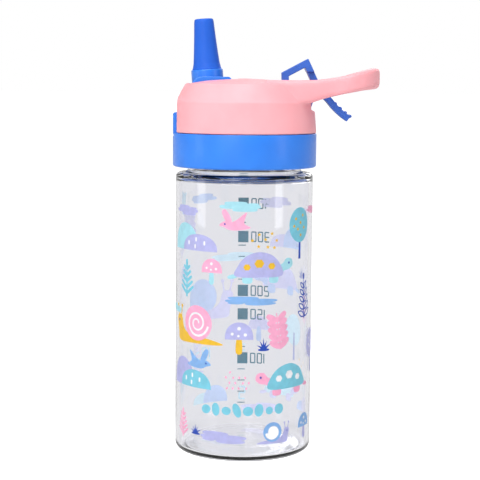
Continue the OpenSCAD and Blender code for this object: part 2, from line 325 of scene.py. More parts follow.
# %% [markdown]
# ## Drawing and turning
# Most of a bottle is turned: a profile spun about the axis. A profile here is a list of
# (radius, height, fillet) corners, and each fillet becomes an arc, as a mould maker would cut it.
# Booleans and a fine voxel skin then give the moulded pieces their soft edges everywhere.

# %% Profile and lathe
def filleted(corners, steps=6):
    """A closed outline of (x, y, fillet radius) corners, with each corner made an arc."""
    out = []
    for i, (x, y, r) in enumerate(corners):
        here = Vector((x, y))
        before = Vector(corners[i - 1][:2]) - here
        after = Vector(corners[(i + 1) % len(corners)][:2]) - here
        u, v = before.normalized(), after.normalized()
        half = 0.5 * math.acos(max(-1.0, min(1.0, u.dot(v))))
        if r <= 0 or half > 1.52:
            out.append((x, y))
            continue
        reach = min(r / math.tan(half), 0.49 * before.length, 0.49 * after.length)
        centre = here + (u + v).normalized() * (reach / math.cos(half))
        a, b = here + u * reach - centre, here + v * reach - centre
        turn = math.atan2(a.x * b.y - a.y * b.x, a.dot(b))
        out += [tuple(centre + Matrix.Rotation(turn * k / steps, 2) @ a) for k in range(steps + 1)]
    return out


def lathe(profile, turns=192):
    """Spins a closed (radius, height) outline about Z into a closed shell, in millimetres."""
    bm = bmesh.new()
    rings = []
    for i in range(turns):
        a = 2 * math.pi * i / turns
        rings.append([bm.verts.new((r * math.cos(a), r * math.sin(a), z)) for r, z in profile])
    for i in range(turns):
        near, far = rings[i], rings[(i + 1) % turns]
        for j in range(len(profile)):
            k = (j + 1) % len(profile)
            if profile[j][0] > 1e-6 or profile[k][0] > 1e-6:
                bm.faces.new((near[j], far[j], far[k], near[k]))
    bmesh.ops.remove_doubles(bm, verts=bm.verts, dist=1e-5)
    bmesh.ops.dissolve_degenerate(bm, edges=bm.edges, dist=1e-6)
    bmesh.ops.recalc_face_normals(bm, faces=bm.faces)
    return bm


# %% Plates, bars and blocks
AXES = {"Y": lambda p, t: (p[0], t, p[1]), "Z": lambda p, t: (p[0], p[1], t)}


def plate(outline, lo, hi, across="Y"):
    """A closed plate: an outline pushed from lo to hi along one axis."""
    bm = bmesh.new()
    a = [bm.verts.new(AXES[across](p, lo)) for p in outline]
    b = [bm.verts.new(AXES[across](p, hi)) for p in outline]
    bm.faces.new(a)
    bm.faces.new(b[::-1])
    for i in range(len(outline)):
        k = (i + 1) % len(outline)
        bm.faces.new((a[i], b[i], b[k], a[k]))
    bmesh.ops.recalc_face_normals(bm, faces=bm.faces)
    return bm


def block(lo, hi):
    return plate([(lo[0], lo[1]), (hi[0], lo[1]), (hi[0], hi[1]), (lo[0], hi[1])], lo[2], hi[2], "Z")


def bar(start, end, radius, sides=64):
    """A round bar between two points."""
    start, end = Vector(start), Vector(end)
    bm = bmesh.new()
    turn = (end - start).to_track_quat("Z", "Y").to_matrix().to_4x4()
    bmesh.ops.create_cone(bm, cap_ends=True, segments=sides, radius1=radius, radius2=radius,
                          depth=(end - start).length,
                          matrix=Matrix.Translation((start + end) / 2) @ turn)
    return bm


def bar_across(place, radius, half, sides=64):
    """A round bar along Y through a pivot."""
    return bar((place.x, -half, place.z), (place.x, half, place.z), radius, sides)


def placed(bm, matrix):
    bmesh.ops.transform(bm, matrix=matrix, verts=bm.verts)
    return bm


def ribbon(path, t):
    """Outline of a bar of thickness t along a path, with mitred corners."""
    left, right = [], []
    for i, p in enumerate(path):
        here = Vector(p)
        before = (here - Vector(path[i - 1])).normalized() if i else None
        after = (Vector(path[i + 1]) - here).normalized() if i < len(path) - 1 else None
        u, v = before or after, after or before
        n = Vector((-u.y - v.y, u.x + v.x))
        n *= t / n.length_squared
        left.append(tuple(here + n))
        right.append(tuple(here - n))
    return left + right[::-1]


# %% Booleans and the soft skin
def work_object(bm):
    mesh = bpy.data.meshes.new("work")
    bm.to_mesh(mesh)
    bm.free()
    obj = bpy.data.objects.new("work", mesh)
    bpy.context.scene.collection.objects.link(obj)
    return obj


def settled(obj):
    """The object's mesh with its modifiers applied, and the object gone."""
    mesh = bpy.data.meshes.new_from_object(obj.evaluated_get(bpy.context.evaluated_depsgraph_get()))
    bpy.data.objects.remove(obj, do_unlink=True)
    return mesh


def carve(solid, adds=(), cuts=(), keep=()):
    """Joins, cuts and trims closed shells, and gives the result as a bmesh."""
    base = work_object(solid)
    tools = []
    for kind, group in (("UNION", adds), ("DIFFERENCE", cuts), ("INTERSECT", keep)):
        for bm in group:
            tools.append(work_object(bm))
            step = base.modifiers.new(kind, "BOOLEAN")
            step.operation = kind
            step.solver = "MANIFOLD"
            step.object = tools[-1]
    mesh = settled(base)
    for tool in tools:
        bpy.data.objects.remove(tool, do_unlink=True)
    bm = bmesh.new()
    bm.from_mesh(mesh)
    return bm


def softened(bm, voxel, passes):
    """A fine voxel skin over a shell, relaxed so that every edge is a small round."""
    work = work_object(bm)
    skin = work.modifiers.new("skin", "REMESH")
    skin.mode = "VOXEL"
    skin.voxel_size = voxel
    relax = work.modifiers.new("relax", "SMOOTH")
    relax.factor = 0.5
    relax.iterations = passes
    out = bmesh.new()
    out.from_mesh(settled(work))
    return out


# %% Finished pieces
def finished(name, bm, material, body, stands_for=(), crease=40):
    """A piece at the origin, in metres, smooth but for its creases, riding on a body."""
    mesh = bpy.data.meshes.new(name)
    bmesh.ops.scale(bm, vec=(MM, MM, MM), verts=bm.verts)
    bm.to_mesh(mesh)
    bm.free()
    return mounted(name, mesh, [material], body, stands_for, crease)


def mounted(name, mesh, materials, body, stands_for=(), crease=0):
    if materials:
        mesh.materials.clear()
        for material in materials:
            mesh.materials.append(material)
    for polygon in mesh.polygons:
        polygon.use_smooth = True
    if crease:
        mesh.set_sharp_from_angle(angle=math.radians(crease))
    obj = bpy.data.objects.new(name, mesh)
    bpy.context.scene.collection.objects.link(obj)
    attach(obj, body)
    if stands_for:
        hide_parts(*stands_for)
    print(f"{name}: {len(mesh.polygons)} faces, rides on {body}")
    return obj

# %% [markdown]
# ## The clear bottle
# A blow-moulded bottle is one skin: straight barrel, rounded foot, pushed-up base, a small
# shoulder and a neck with the screw thread. Both the outside and the inside are drawn, because
# the eye reads clear plastic by its two surfaces and the wall between them. The thread is a
# ridge that climbs round the neck and runs out at both ends, joined on with a boolean.

# %% Bottle
WALL = 1.9
NECK_R = 28.0
FLOOR_T = 3.0
PUSH_UP = 3.0
PITCH_MM = 4.5


def bottle_profile():
    r, s = BARREL_R, SHOULDER_Z
    return filleted([
        (0, PUSH_UP, 0), (20.0, PUSH_UP - 0.5, 12), (28.0, 0.0, 2.0), (r, 0, 4.0), (r, s, 2.5),
        (NECK_R + 1.4, s + 0.2, 0.8), (NECK_R, s + 1.2, 0.5), (NECK_R, NECK_TOP, 0.5),
        (NECK_R - 2.1, NECK_TOP, 0.4), (NECK_R - 2.1, s - 1.6, 2.0), (r - WALL, s - 2.2, 2.5),
        (r - WALL, 2.2, 2.8), (29.0, 2.6, 3), (23.5, 5.0, 8), (0, FLOOR_T + PUSH_UP, 0),
    ], 8)


def thread_ridge(base, crest, turns, z, per_turn=72, run_out=8):
    """A trapezoid ridge climbing round the axis, tapered away at both ends."""
    bm = bmesh.new()
    steps = int(turns * per_turn)
    rings = []
    for i in range(steps + 1):
        a = 2 * math.pi * i / per_turn
        rise = z + PITCH_MM * i / per_turn
        tip = base + (crest - base) * max(0.05, min(1.0, i / run_out, (steps - i) / run_out))
        corners = [(base, -0.95), (tip, -0.5), (tip, 0.5), (base, 0.95)]
        rings.append([bm.verts.new((r * math.cos(a), r * math.sin(a), rise + h)) for r, h in corners])
    for near, far in zip(rings, rings[1:]):
        for j in range(4):
            bm.faces.new((near[j], far[j], far[(j + 1) % 4], near[(j + 1) % 4]))
    bm.faces.new(rings[0])
    bm.faces.new(rings[-1][::-1])
    bmesh.ops.recalc_face_normals(bm, faces=bm.faces)
    return bm


THREAD_START = COLLAR_Z + 1.4
neck_thread = thread_ridge(NECK_R - 0.4, NECK_R + 1.6, 1.4, THREAD_START)
shell = carve(lathe(bottle_profile(), 256), adds=[neck_thread])
finished("bottle_clear_shell", shell, CLEAR, "bottle", ["bottle_body"])

# %% [markdown]
# ## The blue screw collar
# A plain turned ring with small edge rounds, its own thread inside, and a notch in its top edge
# that lets the release button's tail in.

# %% Screw collar
NECK_CLEAR = 2.1
COLLAR_WALL = 2.0


def collar_ring():
    inner = NECK_R + NECK_CLEAR
    wall_in = COLLAR_R - COLLAR_WALL
    profile = filleted([
        (inner, COLLAR_Z, 0.6), (inner + 1.6, COLLAR_Z, 0.3), (inner + 1.6, DECK_TOP - 5.2, 0.3),
        (wall_in, DECK_TOP - 5.2, 0.3), (wall_in, COLLAR_Z, 0.3), (COLLAR_R, COLLAR_Z, 1.0),
        (COLLAR_R, COVER_Z, 0.45), (wall_in, COVER_Z, 0.2), (wall_in, DECK_TOP - DECK_T, 0),
        (inner, DECK_TOP - DECK_T, 0.3),
    ], 6)
    thread = thread_ridge(inner + 0.4, NECK_R + 0.4, 1.2, THREAD_START + PITCH_MM / 2)
    notch = block((-COLLAR_R - 2, -6.3, COVER_Z - 1.9), (-inner, 6.3, COVER_Z + 2))
    return carve(lathe(profile, 256), adds=[thread], cuts=[notch])


finished("collar_ring", collar_ring(), BLUE, "lid", ["screw_collar"], 30)

# %% [markdown]
# ## The pink cover and its carry loop
# One moulding: a dome with a near-upright band and a sloping top, cut by a channel for the spout
# and the lever, and a flat U of loop growing out of its back. The dome is turned, the loop is a
# rounded section swept round its plan, and the two are joined and cut before the voxel skin
# rounds all the edges at once, as the radii in a mould do.

# %% Carry loop
LOOP_OUTER = 20.0
GAP_HALF = 13.5
LOOP_BOTTOM = [(14, 13.0), (31.5, 15.0), (39, 17.5), (48.9, 19.7), (57.2, 21.3), (67, 22.2)]
LOOP_TOP = [(14, 26.0), (26, 25.9), (33.6, 26.1), (41.3, 27.0), (48.9, 28.2), (54.9, 30.0), (63, 32.3),
            (67, 32.6)]


def between(table, x):
    """Straight-line reading of a short table of (x, value) pairs."""
    for (x0, a), (x1, b) in zip(table, table[1:]):
        if x <= x1:
            return a + (b - a) * max(0.0, (x - x0) / (x1 - x0))
    return table[-1][1]


def loop_stations():
    """Centre, outward direction and half thickness along the U, from one leg to the other."""
    centre_x, inner_x = LOOP_REACH - LOOP_OUTER, LOOP_REACH - 10 - GAP_HALF
    leg, bend = [], []
    for x in range(10, int(inner_x) + 1, 2):
        outer = 24.5 - 4.5 * min(1.0, (x - 10) / (centre_x - 10))
        leg.append((Vector((x, -(outer + GAP_HALF) / 2)), Vector((0.0, -1.0)), (outer - GAP_HALF) / 2))
    for i in range(1, 48):
        a = math.radians(-90 + 180 * i / 48)
        d = Vector((math.cos(a), math.sin(a)))
        inner, outer = Vector((inner_x, 0)) + d * GAP_HALF, Vector((centre_x, 0)) + d * LOOP_OUTER
        bend.append(((inner + outer) / 2, (outer - inner).normalized(), (outer - inner).length / 2))
    return leg + bend + [(Vector((c.x, -c.y)), Vector((d.x, -d.y)), h) for c, d, h in reversed(leg)]


def carry_loop(sides=40, squareness=0.45):
    """The loop: a rounded rectangle section carried round the stations."""
    bm = bmesh.new()
    rings = []
    for centre, out, half in loop_stations():
        ring = []
        for i in range(sides):
            a = 2 * math.pi * i / sides
            u = math.copysign(abs(math.cos(a)) ** squareness, math.cos(a))
            v = math.copysign(abs(math.sin(a)) ** squareness, math.sin(a))
            at = centre + out * (u * half)
            low, high = COVER_Z + between(LOOP_BOTTOM, at.x), COVER_Z + between(LOOP_TOP, at.x)
            ring.append(bm.verts.new((at.x, at.y, (low + high) / 2 + v * (high - low) / 2)))
        rings.append(ring)
    for a, b in zip(rings, rings[1:]):
        for i in range(sides):
            bm.faces.new((a[i], b[i], b[(i + 1) % sides], a[(i + 1) % sides]))
    bm.faces.new(rings[0])
    bm.faces.new(rings[-1][::-1])
    bmesh.ops.recalc_face_normals(bm, faces=bm.faces)
    return bm


# %% Cover
CHANNEL_X0, CHANNEL_X1 = -27.3, 24.5
CREASE = 15.0
EAR_Y, CHEEK_Y = 8.2, 7.7


def cover_outline():
    r, z = COLLAR_R, COVER_Z
    outside = [(r - 2.2, DECK_TOP, 0), (r - 2.2, z + 0.2, 0), (r - 0.1, z + 0.2, 0.35),
               (r - 1.2, z + CREASE, 1.2), (r - 6.2, z + 24.1, 2.2), (r - 14, z + 25.5, 10),
               (8, z + 26.7, 10), (0, z + 26.8, 0)]
    inside = [(0, z + 24.4, 0), (r - 9, z + 22.0, 2), (r - 3.3, z + 14.2, 2), (r - 2.3, z + 1, 0),
              (r - 4, z + 1, 0), (r - 4, DECK_TOP, 0)]
    return filleted(outside + inside, 10)


def cover_hollow():
    r, z = COLLAR_R, COVER_Z
    return [(0, z - 3), (r - 3.9, z - 3), (r - 3.9, z + 1), (r - 2.3, z + 1), (r - 3.3, z + 14.2),
            (r - 9, z + 22.0), (0, z + 24.4)]


def cover_moulding():
    z = COVER_Z
    ears = [block((25.5, s * EAR_Y - 2, z + 10.5), (32, s * EAR_Y + 2, z + 22)) for s in (-1, 1)]
    cheeks = [block((-33, s * CHEEK_Y - 1.2, z + 3.6), (-29, s * CHEEK_Y + 1.2, z + 8.8))
              for s in (-1, 1)]
    loop = carve(carry_loop(), cuts=[lathe(cover_hollow(), 128)])
    cuts = [
        block((-40, -20, z - 0.5), (-33.1, 20, z + 20)),
        block((CHANNEL_X0, -10.6, z + 11), (-4, 10.6, z + 40)),
        block((CHANNEL_X0, -8.6, z + 11), (CHANNEL_X1, 8.6, z + 40)),
        block((CHANNEL_X1 - 1, -6.2, z + 10.9), (40, 6.2, z + 40)),
        block((32.2, -13.4, z + 11.4), (40, 13.4, z + 16)),
        block((-40, -6.3, z - 4), (-28.5, 6.3, z + 10.2)),
        bar_across(LEVER, 1.3, 11, 24),
    ]
    return carve(lathe(cover_outline(), 256), adds=[loop] + ears + cheeks, cuts=cuts)


finished("cover_with_loop", softened(cover_moulding(), 0.42, 3), PINK, "lid",
         ["dome_cover"], 0)

# %% [markdown]
# ## The spout
# The drum that turns on the pin and the sleeve above it are one hard blue moulding. The tapered
# tube that meets the lips is softer and sits in the sleeve. Both are turned about the spout's
# own leaning axis.

# %% Spout
SLEEVE_R = 7.8
SLEEVE_TOP = 11.4
DRUM_R = 7.7
TOOTH_R = 8.8
PIN_HOLE = 1.32
SPOUT_LENGTH = 36.0
CHANNEL_R = 3.0
TIP_R = 4.7
LEAN = 4.0
SPOUT_AXIS = Matrix.Translation(SPOUT) @ Matrix.Rotation(math.radians(-LEAN), 4, "Y")


def spout_tube():
    s, r, c = SLEEVE_TOP, TIP_R, CHANNEL_R
    profile = filleted([
        (c, s, 0), (SLEEVE_R - 0.5, s, 0.2), (SLEEVE_R - 0.9, s + 0.9, 0.5), (r + 1.75, s + 3.0, 2.5),
        (r + 1.25, s + 8, 6.0), (r + 0.75, s + 14, 6.0), (r + 0.1, SPOUT_LENGTH - 1.5, 0.3),
        (r - 0.2, SPOUT_LENGTH, 1.3), (c, SPOUT_LENGTH, 0.5),
    ], 8)
    return placed(lathe(profile, 96), SPOUT_AXIS)


def spout_drum():
    profile = [(0, 0, 0), (SLEEVE_R, 0, 0), (SLEEVE_R, SLEEVE_TOP, 0.8),
               (SLEEVE_R - 0.8, SLEEVE_TOP, 0), (0, SLEEVE_TOP, 0)]
    sleeve = placed(lathe(filleted(profile, 6), 96), SPOUT_AXIS)
    turn = Matrix.Translation(SPOUT) @ Matrix.Rotation(math.radians(-6 - LEAN), 4, "Y")
    tooth = [(-0.8, -TOOTH_R), (0.8, -TOOTH_R), (0.8, -5), (-0.8, -5)]
    teeth = [placed(plate(tooth, s * 7.1 - 0.8, s * 7.1 + 0.8), turn) for s in (-1, 1)]
    bore = placed(bar((0, 0, -14), (0, 0, 20), CHANNEL_R, 48), SPOUT_AXIS)
    wells = [bar((SPOUT.x, s * 6.4, SPOUT.z), (SPOUT.x, s * 9, SPOUT.z), 4.2, 48) for s in (-1, 1)]
    return carve(bar_across(SPOUT, DRUM_R, 7.9, 96), adds=[sleeve] + teeth,
                 cuts=[bore, bar_across(SPOUT, PIN_HOLE, 9, 32)] + wells)


finished("spout_tube", spout_tube(), SPOUT_BLUE, "spout", ["spout_mouthpiece"], 50)
finished("spout_drum_and_sleeve", softened(spout_drum(), 0.22, 3), BLUE, "spout",
         ["spout_base"], 0)

# %% [markdown]
# ## The thumb lever
# A bent bar with a forked hook in front and a ridged pad behind. Its outline is a path in the
# side view, given thickness with mitred corners. The fork and the narrow tail are cut from the
# full width, and the grip ridges are round bars laid across the pad.

# %% Lever
LEVER_T = 3.2
LEVER_HOOK = [(-10.2, 9.0), (-10.4, 14.2)]
LEVER_ARM = [(-0.1, 19.7), (3.6, 12.0), (6.6, 6.4)]
LEVER_PAD = [(11.5, 1.5), (13.6, -1.1), (15.9, -3.4), (18.4, -5.5), (20.9, -7.3)]


def thumb_lever():
    at = Matrix.Translation(LEVER)
    fork = placed(block((-20, -5.6, 0), (-1.3, 5.6, 30)), at)
    sides = [placed(block((-4, 5.5, -20), (30, 15, 15.4)), at),
             placed(block((-4, -15, -20), (30, -5.5, 15.4)), at)]
    bent = carve(placed(plate(ribbon(LEVER_HOOK + LEVER_ARM + LEVER_PAD, LEVER_T), -8, 8), at),
                 cuts=[fork] + sides)
    link = placed(plate(ribbon([(0, 0), LEVER_ARM[2]], 4), -5, 5), at)
    ridges = [bar((LEVER.x + x, -4.7, LEVER.z + z), (LEVER.x + x, 4.7, LEVER.z + z), 0.85, 20)
              for x, z in ((14.3, 0.1), (16.8, -2.2), (19.3, -4.3), (21.6, -6.0))]
    return carve(bent, adds=[link, bar_across(LEVER, 3.0, 5.5, 48)] + ridges,
                 cuts=[bar_across(LEVER, PIN_HOLE, 9, 32)])


finished("thumb_lever_moulding", softened(thumb_lever(), 0.25, 3), LEVER_BLUE, "lever",
         ["thumb_lever"], 0)

# %% [markdown]
# ## The release button
# A shell that continues the collar's curve, rocking on a pin, with a thin arm up to the latch nib.

# %% Button
def release_button():
    z0, z1 = COVER_Z - 1.2, COVER_Z + 9.9
    rim = filleted([(COLLAR_R - 3, z0, 0.2), (COLLAR_R, z0, 0.8), (COLLAR_R, z1, 1.2),
                    (COLLAR_R - 3, z1, 0.2)], 6)
    face = carve(lathe(rim, 256), keep=[block((-COLLAR_R - 2, -6, z0 - 1), (-28, 6, z1 + 1))])
    path = [(-33, BUTTON.z), (BUTTON.x, BUTTON.z), (-28.4, COVER_Z + 9.6), (-27.5, COVER_Z + 16.4)]
    nib_x = SPOUT.x - 8.75
    nib = plate([(-27.7, COVER_Z + 15.6), (nib_x, COVER_Z + 16.4), (nib_x, COVER_Z + 17.2),
                 (-27.7, COVER_Z + 17.2)], -7.2, 7.2)
    adds = [plate(ribbon(path, 1.4), -5, 5), bar_across(BUTTON, 1.9, 6, 32), nib]
    return carve(face, adds=adds, cuts=[bar_across(BUTTON, 1.07, 9, 24)])


finished("button_rocker", softened(release_button(), 0.2, 3), BLUE, "button",
         ["release_button"], 0)

# %% [markdown]
# ## The deck inside the lid
# Most of the deck is hidden, but its two ears stand a little proud of the cover on each side of
# the spout, and its tray is the floor of the channel. The frame's own deck has the right shape,
# so a merged copy of it gets the same soft skin as the other mouldings.

# %% Deck
def merged_copy(node):
    """A node's loose triangles as one closed shell, in millimetres."""
    bm = bmesh.new()
    bm.from_mesh(frame["nodes"][node].data)
    bmesh.ops.scale(bm, vec=(1 / MM, 1 / MM, 1 / MM), verts=bm.verts)
    bmesh.ops.remove_doubles(bm, verts=bm.verts, dist=1e-4)
    return bm


finished("deck_with_ears", softened(merged_copy("lid_deck"), 0.35, 2), BLUE, "lid",
         ["lid_deck"], 0)

# %% [markdown]
# ## Springs
# A spring is a wire that follows a helix, so Geometry Nodes make it: a Spiral curve, swept by a
# circle with Curve to Mesh. One tree with named inputs winds both springs of the lid.

# %% Coil tree
def geometry_tree(name, sockets):
    """An empty Geometry Nodes tree with named inputs, and a short way to add nodes."""
    tree = bpy.data.node_groups.new(name, "GeometryNodeTree")
    tree.interface.new_socket("Geometry", in_out="INPUT", socket_type="NodeSocketGeometry")
    for label, kind in sockets:
        tree.interface.new_socket(label, in_out="INPUT", socket_type="NodeSocket" + kind)
    tree.interface.new_socket("Geometry", in_out="OUTPUT", socket_type="NodeSocketGeometry")
    return tree, tree.nodes.new("NodeGroupInput"), tree.nodes.new("NodeGroupOutput"), tree.links.new


def coil_tree():
    tree, given, out, link = geometry_tree("wire_coil", [
        ("Turns", "Float"), ("Start radius", "Float"), ("End radius", "Float"), ("Length", "Float"),
        ("Wire radius", "Float"), ("Place", "Vector"), ("Turn", "Rotation"), ("Finish", "Material")])
    spiral = tree.nodes.new("GeometryNodeCurveSpiral")
    spiral.inputs["Resolution"].default_value = 48
    wire = tree.nodes.new("GeometryNodeCurvePrimitiveCircle")
    wire.inputs["Resolution"].default_value = 12
    sweep = tree.nodes.new("GeometryNodeCurveToMesh")
    sweep.inputs["Fill Caps"].default_value = True
    move = tree.nodes.new("GeometryNodeTransform")
    real = tree.nodes.new("GeometryNodeRealizeInstances")
    dress = tree.nodes.new("GeometryNodeSetMaterial")
    for label, socket in (("Turns", "Rotations"), ("Start radius", "Start Radius"),
                          ("End radius", "End Radius"), ("Length", "Height")):
        link(given.outputs[label], spiral.inputs[socket])
    link(given.outputs["Wire radius"], wire.inputs["Radius"])
    link(spiral.outputs["Curve"], sweep.inputs["Curve"])
    link(wire.outputs["Curve"], sweep.inputs["Profile Curve"])
    link(sweep.outputs["Mesh"], move.inputs["Geometry"])
    link(given.outputs["Place"], move.inputs["Translation"])
    link(given.outputs["Turn"], move.inputs["Rotation"])
    link(move.outputs["Geometry"], real.inputs["Geometry"])
    link(real.outputs["Geometry"], dress.inputs["Geometry"])
    link(given.outputs["Finish"], dress.inputs["Material"])
    link(dress.outputs["Geometry"], out.inputs["Geometry"])
    return tree


def grown(tree, values, mesh=None):
    """Runs a tree on a mesh with values for its named inputs, and gives the plain mesh back."""
    host = bpy.data.objects.new("host", mesh or bpy.data.meshes.new("empty"))
    bpy.context.scene.collection.objects.link(host)
    step = host.modifiers.new(tree.name, "NODES")
    step.node_group = tree
    for item in tree.interface.items_tree:
        if item.in_out == "INPUT" and item.name in values:
            step[item.identifier] = values[item.name]
    return settled(host)


# %% Springs
COIL = coil_tree()
WIRE_R = 0.2
spout_coil = grown(COIL, {
    "Turns": 1.75, "Start radius": 2.5 * MM, "End radius": 3.1 * MM, "Length": 0.5 * MM,
    "Wire radius": WIRE_R * MM, "Place": (SPOUT.x * MM, 7.0 * MM, SPOUT.z * MM),
    "Turn": (math.radians(-90), 0.0, 0.0), "Finish": STEEL})
button_coil = grown(COIL, {
    "Turns": 6.0, "Start radius": 1.45 * MM, "End radius": 1.45 * MM, "Length": 5.15 * MM,
    "Wire radius": WIRE_R * MM, "Place": (-31.5 * MM, 0.0, (COVER_Z + 1.6) * MM),
    "Turn": (0.0, math.radians(90), 0.0), "Finish": STEEL})
mounted("spout_spring_coil", spout_coil, [], "lid", ["spout_spring"])
mounted("button_spring_coil", button_coil, [], "lid", ["button_spring"])

# %% [markdown]
# ## Parts that keep the frame's shape
# Pins, seals and the valve are right as packed, so they only get their finish.

# %% Finishes on the frame's own parts
for node, material in (("lid_seal", SILICONE), ("port_seal", SILICONE), ("vent_valve", SILICONE),
                       ("spout_hinge_pin", STEEL), ("lever_hinge_pin", STEEL),
                       ("button_hinge_pin", STEEL)):
    mesh = frame["nodes"][node].data
    mesh.materials.clear()
    mesh.materials.append(material)
    print(node, "is finished in", material.name)

# %% [markdown]
# ## The print on the barrel
# A printed bottle is screen printed, one screen for each ink, while it turns. So the artwork is
# drawn flat here: u runs round the barrel in millimetres of surface from the front, v is the
# height. Each ink then becomes one thin piece that a Geometry Nodes tree rolls on to the barrel.
# Drawn outlines stay sharp at any distance, which a painted texture would not.

# %% Inks
INKS = {
    "navy": (0.018, 0.066, 0.43), "lilac": (0.434, 0.440, 0.745), "turquoise": (0.190, 0.560, 0.700),
    "cyan": (0.36, 0.68, 0.775), "pink": (0.90, 0.39, 0.58), "yellow": (0.800, 0.480, 0.030),
    "teal": (0.013, 0.156, 0.223), "white": (0.84, 0.84, 0.87), "sky": (0.22, 0.42, 0.76),
}
screens = {name: [] for name in INKS}


def stamp(at, size=1.0, flip=False, turn=0.0):
    """Gives a pen that draws about a motif's own origin, sized and turned at its place."""
    c, s = math.cos(math.radians(turn)), math.sin(math.radians(turn))
    side = -size if flip else size

    def pen(ink, outline, layer=0):
        screens[ink].append(([(at[0] + side * (x * c - y * s), at[1] + size * (x * s + y * c))
                              for x, y in outline], layer))
    return pen


# %% Pen shapes
def smooth(points, steps=5):
    """A soft closed outline through the points."""
    out, n = [], len(points)
    for i in range(n):
        a, b, c, d = (Vector(points[(i + k - 1) % n]) for k in range(4))
        for j in range(steps):
            t = j / steps
            out.append(tuple(0.5 * (2 * b + (c - a) * t + (2 * a - 5 * b + 4 * c - d) * t * t
                                    + (3 * b - a - 3 * c + d) * t ** 3)))
    return out


def oval(x, y, rx, ry, steps=28):
    return [(x + rx * math.cos(2 * math.pi * i / steps),
             y + ry * math.sin(2 * math.pi * i / steps)) for i in range(steps)]


def streak(x, y, length, height, blunt=1.0, steps=14):
    """A streak that is pointed at both ends, or rounder when blunt is small."""
    top = [(x - 0.5 * length * math.cos(math.pi * i / steps),
            y + 0.5 * height * math.sin(math.pi * i / steps) ** (blunt + 0.6)) for i in range(steps + 1)]
    return top + [(a, 2 * y - b) for a, b in top[-2:0:-1]]


def leaf(x, y, length, width, angle, blunt=1.0):
    """A leaf that starts at a point and lies along an angle."""
    c, s = math.cos(math.radians(angle)), math.sin(math.radians(angle))
    flat = streak(length / 2, 0, length, width, blunt)
    return [(x + a * c - b * s, y + a * s + b * c) for a, b in flat]


def bow(start, end, sag, steps=8):
    """A bowed path between two points."""
    p, q = Vector(start), Vector(end)
    out = Vector((p.y - q.y, q.x - p.x)).normalized()
    along = [i / steps for i in range(steps + 1)]
    return [tuple(p.lerp(q, t) + out * sag * math.sin(math.pi * t)) for t in along]


def stroke(path, start, end=None):
    """A pen stroke along a path, whose width runs from start to end."""
    end = start if end is None else end
    left, right = [], []
    for i, p in enumerate(path):
        along = (Vector(path[min(i + 1, len(path) - 1)]) - Vector(path[max(i - 1, 0)])).normalized()
        half = 0.5 * (start + (end - start) * i / (len(path) - 1))
        left.append((p[0] - along.y * half, p[1] + along.x * half))
        right.append((p[0] + along.y * half, p[1] - along.x * half))
    return left + right[::-1]


def star(x, y, r, arms=5, waist=0.45):
    return [(x + r * (waist if i % 2 else 1) * math.sin(math.pi * i / arms),
             y + r * (waist if i % 2 else 1) * math.cos(math.pi * i / arms)) for i in range(2 * arms)]


# %% [markdown]
# ### Motifs
# A small set of motifs is drawn once and used again at other sizes, which is how a repeat
# pattern is built: hills, clouds, puddles, leaves, ferns, grass, trees, toadstools and animals.

# %% Land and sky
def hills(at, width, height, back="lilac", front="cyan"):
    """Two rounded hills, with a few blades of grass on the nearer one."""
    pen = stamp(at)
    for ink, x, w, h, layer in ((back, 0.36, 0.62, 1.0, 0), (front, 0.66, 0.68, 0.62, 1)):
        angles = [math.pi * i / 24 for i in range(25)]
        pen(ink, [((x - 0.5 * w * math.cos(a)) * width, h * height * abs(math.sin(a)) ** 0.8)
                  for a in angles], layer)
    for x, y in ((0.46, 0.2), (0.62, 0.34), (0.78, 0.22), (0.6, 0.08)):
        pen("white", leaf(x * width, y * height, 0.16 * height, 0.08 * height, 90, -0.1), 2)


def cloud(ink, at, width, height):
    pen = stamp(at)
    for x, y, w, h in ((0, 0, 1, 0.42), (-0.1, 0.3, 0.55, 0.4), (0.12, -0.28, 0.6, 0.36),
                       (0.3, 0.2, 0.3, 0.3)):
        pen(ink, streak(x * width, y * height, w * width, h * height, -0.2))


def puddle(ink, at, width, height):
    pen = stamp(at)
    for x, y, w, h in ((0, 0, 1, 0.5), (-0.16, 0.3, 0.58, 0.36), (0.17, -0.3, 0.6, 0.34),
                       (-0.3, -0.22, 0.3, 0.26)):
        pen(ink, streak(x * width, y * height, w * width, h * height, 0.2))


def star_group(at, size=1.0):
    pen = stamp(at, size)
    for x, y in ((0, 0), (3.3, 2.8), (6.4, 0.4), (9.7, 3.2), (3.0, -2.9), (7.6, -3.2), (12.2, -0.2),
                 (11.0, -3.6)):
        pen("yellow", star(x, y, 1.0))


def speckle(ink, at, size=1.0):
    pen = stamp(at, size)
    for i in range(13):
        pen(ink, leaf(3.1 * (i % 4) + 1.5 * (i // 4 % 2), 2.6 * (i // 4), 1.3, 0.9, 60 + 25 * (i % 3),
                      0.2))


# %% Leaves, ferns, grass and trees
def open_sprig(ink, at, height, lean=0.0):
    """A stem with outlined leaves in pairs."""
    pen = stamp(at, 1.0, False, lean)
    pen(ink, stroke(bow((0, 0), (0.03 * height, 0.98 * height), 0.03 * height), 0.75, 0.4))
    for i in range(5):
        y, size = height * (0.06 + 0.165 * i), height * (0.30 - 0.025 * i)
        for side in (-1, 1):
            angle = math.radians(90 - side * (60 - 5 * i))
            tip = (0.3 + size * math.cos(angle), y + size * math.sin(angle))
            for sag in (-0.2, 0.2):
                pen(ink, stroke(bow((0.3, y), tip, sag * size), 0.75, 0.55))
    pen(ink, leaf(0.03 * height, 0.93 * height, 0.15 * height, 0.07 * height, 88, 0.3))


